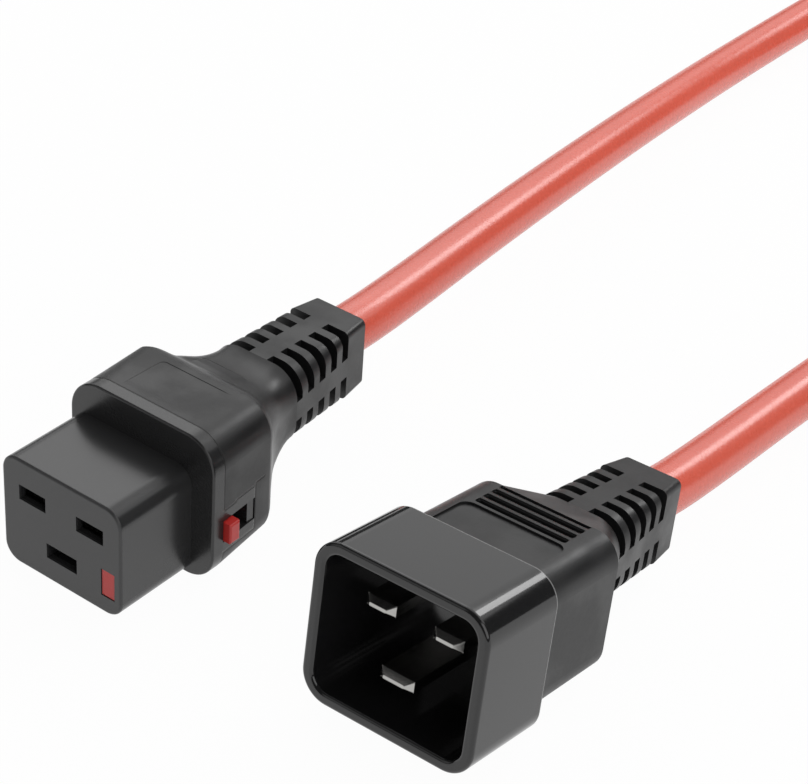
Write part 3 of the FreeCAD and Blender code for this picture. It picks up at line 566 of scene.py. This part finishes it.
# ------------------------------------------------------------------ the spring
def coil_spring(name, low, high, wire, turns):
    """A coil spring that fills a box along Y. The wire's middle goes evenly round a circle as
    it moves evenly from one end to the other: the circle's radius is half the box's width less
    half the wire. The wire's skin is a small circle in the plane through the coil's axis."""
    steps, ring = int(turns * 28), 10
    share = np.linspace(0.0, 1.0, steps + 1)[:, None]
    turn = 2.0 * np.pi * turns * share
    round_wire = np.linspace(0.0, 2.0 * np.pi, ring, endpoint=False)[None, :]
    middle = (low + high) / 2
    reach = (high[0] - low[0] - wire) / 2 + wire / 2 * np.cos(round_wire)
    along = low[1] + wire / 2 + (high[1] - low[1] - wire) * share + wire / 2 * np.sin(round_wire)
    points = np.stack([middle[0] + reach * np.cos(turn), along,
                       middle[2] + reach * np.sin(turn)], axis=-1)
    faces = []
    for i in range(steps):
        this, after = i * ring, (i + 1) * ring
        for j in range(ring):
            k = (j + 1) % ring
            faces.append((this + j, this + k, after + k, after + j))
    faces += [tuple(reversed(range(ring))), tuple(steps * ring + j for j in range(ring))]
    mesh = bpy.data.meshes.new(name)
    mesh.from_pydata(points.reshape(-1, 3).tolist(), [], faces)
    mesh.shade_smooth()
    spring = bpy.data.objects.new(name, mesh)
    bpy.context.scene.collection.objects.link(spring)
    return spring


# ------------------------------------------------------------------ operators
class POWERLEAD_OT_studio(bpy.types.Operator):
    """Makes the pale floor, the soft lamps, the room light and the camera"""
    bl_idname = "power_lead.studio"
    bl_label = "Floor, lamps and camera"

    def execute(self, context):
        scene, studio = context.scene, context.scene.power_lead_studio
        scene.view_settings.view_transform = "Standard"

        f = Finish("pale_floor", (0.93, 0.93, 0.93), 1.0)
        f.surface.inputs["Specular IOR Level"].default_value = 0.0
        rays = f.node("ShaderNodeLightPath").outputs
        seen = f.maths("MAXIMUM", f.maths("MAXIMUM", rays["Is Camera Ray"], rays["Is Glossy Ray"]),
                       rays["Is Transmission Ray"])
        glow = f.node("ShaderNodeEmission", Color=WHITE, Strength=1.0)
        mix = f.node("ShaderNodeMixShader")
        f.feed(mix.inputs[0], f.maths("MULTIPLY", seen, FLOOR_GLOW))
        f.join(f.surface.outputs[0], mix.inputs[1])
        f.join(glow.outputs[0], mix.inputs[2])
        out = next(n for n in f.tree.nodes if n.type == "OUTPUT_MATERIAL")
        f.join(mix.outputs[0], out.inputs["Surface"])

        mesh = bpy.data.meshes.new("floor")
        turn = np.linspace(0.0, 2.0 * np.pi, FLOOR_SIDES, endpoint=False)
        rim = np.stack([FLOOR_CENTRE[0] + FLOOR_RADIUS * np.cos(turn),
                        FLOOR_CENTRE[1] + FLOOR_RADIUS * np.sin(turn), np.zeros_like(turn)], axis=1)
        mesh.from_pydata(rim.tolist(), [], [list(range(FLOOR_SIDES))])
        mesh.materials.append(f.material)
        floor = bpy.data.objects.new("floor", mesh)
        scene.collection.objects.link(floor)

        world = bpy.data.worlds.new("soft_room")
        scene.world = world
        world.use_nodes = True
        tree = world.node_tree
        back = next(n for n in tree.nodes if n.type == "BACKGROUND")
        back.inputs["Color"].default_value = WHITE
        rays = tree.nodes.new("ShaderNodeLightPath").outputs
        level = tree.nodes.new("ShaderNodeMapRange")
        tree.links.new(rays["Is Camera Ray"], level.inputs["Value"])
        level.inputs["To Min"].default_value = studio.room_light
        level.inputs["To Max"].default_value = 1.0
        tree.links.new(level.outputs[0], back.inputs["Strength"])

        middle = Vector(LAMPS_FACE)
        lamps = (("top_lamp", (0.0, 0.7, 1.25), (2.4, 1.4), studio.top_light),
                 ("right_lamp", (1.05, -0.35, 0.65), (1.2, 1.0), studio.right_light),
                 ("back_lamp", (-0.64, 0.72, 0.6), (1.44, 0.74), studio.back_light),
                 ("strip_lamp", (0.127, 0.975, 0.7025), (0.316, 0.467), studio.strip_light),
                 ("front_lamp", (-0.75, -0.75, 0.55), (0.8, 0.8), studio.front_light))
        for name, place, size, glow_level in lamps:
            data = bpy.data.lights.new(name, "AREA")
            data.shape = "RECTANGLE"
            data.size, data.size_y = size
            data.energy = glow_level * math.pi * size[0] * size[1]
            lamp = bpy.data.objects.new(name, data)
            lamp.location = place
            lamp.rotation_euler = (Vector(place) - middle).to_track_quat("Z", "Y").to_euler()
            scene.collection.objects.link(lamp)

        data = bpy.data.cameras.new("camera")
        data.lens = studio.lens
        data.sensor_width = 36.0
        data.clip_start, data.clip_end = 0.01, 50.0
        camera = bpy.data.objects.new("camera", data)
        a, e = studio.azimuth, studio.elevation
        back = Vector((math.sin(a) * math.cos(e), -math.cos(a) * math.cos(e), math.sin(e)))
        right = Vector((0.0, 0.0, 1.0)).cross(back).normalized()
        up = back.cross(right)
        turned = right * math.cos(studio.roll) + up * math.sin(studio.roll)
        camera.matrix_world = Matrix.Translation(studio.place) @ Matrix(
            (turned, back.cross(turned), back)).transposed().to_4x4()
        scene.collection.objects.link(camera)
        scene.camera = camera
        return {"FINISHED"}


class POWERLEAD_OT_lead(bpy.types.Operator):
    """Lays the red lead from the connector through its coil to the plug"""
    bl_idname = "power_lead.lead"
    bl_label = "Lead and coil"

    def execute(self, context):
        sizes = context.scene.power_lead_sizes
        jacket = jacket_finish(context.scene.power_lead_colours)
        lead = tube("lead", lead_line(sizes), sizes.diameter, jacket)
        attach(lead, "connector")
        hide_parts("cord_from_socket", "cord_coil", "cord_from_plug")
        dress(strap_finish(), "coil_tie")
        return {"FINISHED"}


class POWERLEAD_OT_connector(bpy.types.Operator):
    """Finishes the connector's shell, its moulding and the carriers inside both ends"""
    bl_idname = "power_lead.connector"
    bl_label = "Connector shell and mouldings"

    def execute(self, context):
        colours = context.scene.power_lead_colours
        dress(shell_finish(colours), "socket_housing")
        dress(body_finish(colours), "connector_body")
        dress(plug_body_finish(colours), "plug_body")
        dress(carrier_finish(colours), "contact_carrier", "terminal_retainer", "pin_retainer")
        return {"FINISHED"}


class POWERLEAD_OT_shroud(bpy.types.Operator):
    """Finishes the plug's glossy shroud"""
    bl_idname = "power_lead.shroud"
    bl_label = "Plug shroud"

    def execute(self, context):
        dress(shroud_finish(context.scene.power_lead_colours), "plug_shroud")
        return {"FINISHED"}


class POWERLEAD_OT_release(bpy.types.Operator):
    """Finishes the red release slider and button, the lock plate and the spring"""
    bl_idname = "power_lead.release"
    bl_label = "Release and lock"

    def execute(self, context):
        dress(release_finish(context.scene.power_lead_colours), "release_slider", "release_button")
        dress(steel_finish("lock_plate_steel", (0.55, 0.55, 0.56), 0.3), "lock_plate")
        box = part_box("return_spring")
        low, high = (np.array(corner) for corner in box)
        spring = coil_spring("squeezed_spring", low, high, SPRING_WIRE, SPRING_TURNS)
        spring.data.materials.append(steel_finish("spring_steel", (0.48, 0.47, 0.46), 0.25))
        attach(spring, "connector")
        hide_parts("return_spring")
        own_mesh(spring)
        return {"FINISHED"}


class POWERLEAD_OT_contacts(bpy.types.Operator):
    """Finishes the plated blades and contacts and the insulated cores behind them"""
    bl_idname = "power_lead.contacts"
    bl_label = "Contacts and cores"

    def execute(self, context):
        dress(plating_finish(context.scene.power_lead_colours),
              *(f"{pole}_{kind}" for pole in ("line", "neutral", "earth")
                for kind in ("contact", "blade")))
        for pole, colour in (("line", (0.13, 0.045, 0.018)), ("neutral", (0.03, 0.12, 0.42)),
                             ("earth", (0.16, 0.36, 0.03))):
            dress(insulation_finish(f"{pole}_insulation_colour", colour),
                  f"{pole}_core", f"plug_{pole}_core")
        return {"FINISHED"}


class POWERLEAD_PT_panel(bpy.types.Panel):
    bl_idname = "POWERLEAD_PT_panel"
    bl_label = "Power lead"
    bl_space_type = "VIEW_3D"
    bl_region_type = "UI"
    bl_category = "Power lead"

    def draw(self, context):
        layout = self.layout
        for group in (context.scene.power_lead_sizes, context.scene.power_lead_colours,
                      context.scene.power_lead_studio):
            box = layout.box()
            for name in group.__annotations__:
                box.prop(group, name)
        for operator in OPERATORS:
            layout.operator(operator.bl_idname)


GROUPS = {"power_lead_sizes": LeadSizes, "power_lead_colours": FinishColours,
          "power_lead_studio": StudioSettings}
OPERATORS = (POWERLEAD_OT_studio, POWERLEAD_OT_lead, POWERLEAD_OT_connector, POWERLEAD_OT_shroud,
             POWERLEAD_OT_release, POWERLEAD_OT_contacts)


def register():
    for cls in (*GROUPS.values(), *OPERATORS, POWERLEAD_PT_panel):
        bpy.utils.register_class(cls)
    for name, group in GROUPS.items():
        setattr(bpy.types.Scene, name, bpy.props.PointerProperty(type=group))


def unregister():
    for name in GROUPS:
        delattr(bpy.types.Scene, name)
    for cls in (POWERLEAD_PT_panel, *reversed(OPERATORS), *GROUPS.values()):
        bpy.utils.unregister_class(cls)


def main():
    register()
    bpy.ops.power_lead.studio()
    bpy.ops.power_lead.lead()
    bpy.ops.power_lead.connector()
    bpy.ops.power_lead.shroud()
    bpy.ops.power_lead.release()
    bpy.ops.power_lead.contacts()
    bpy.context.view_layer.update()


if __name__ == "__main__":
    main()
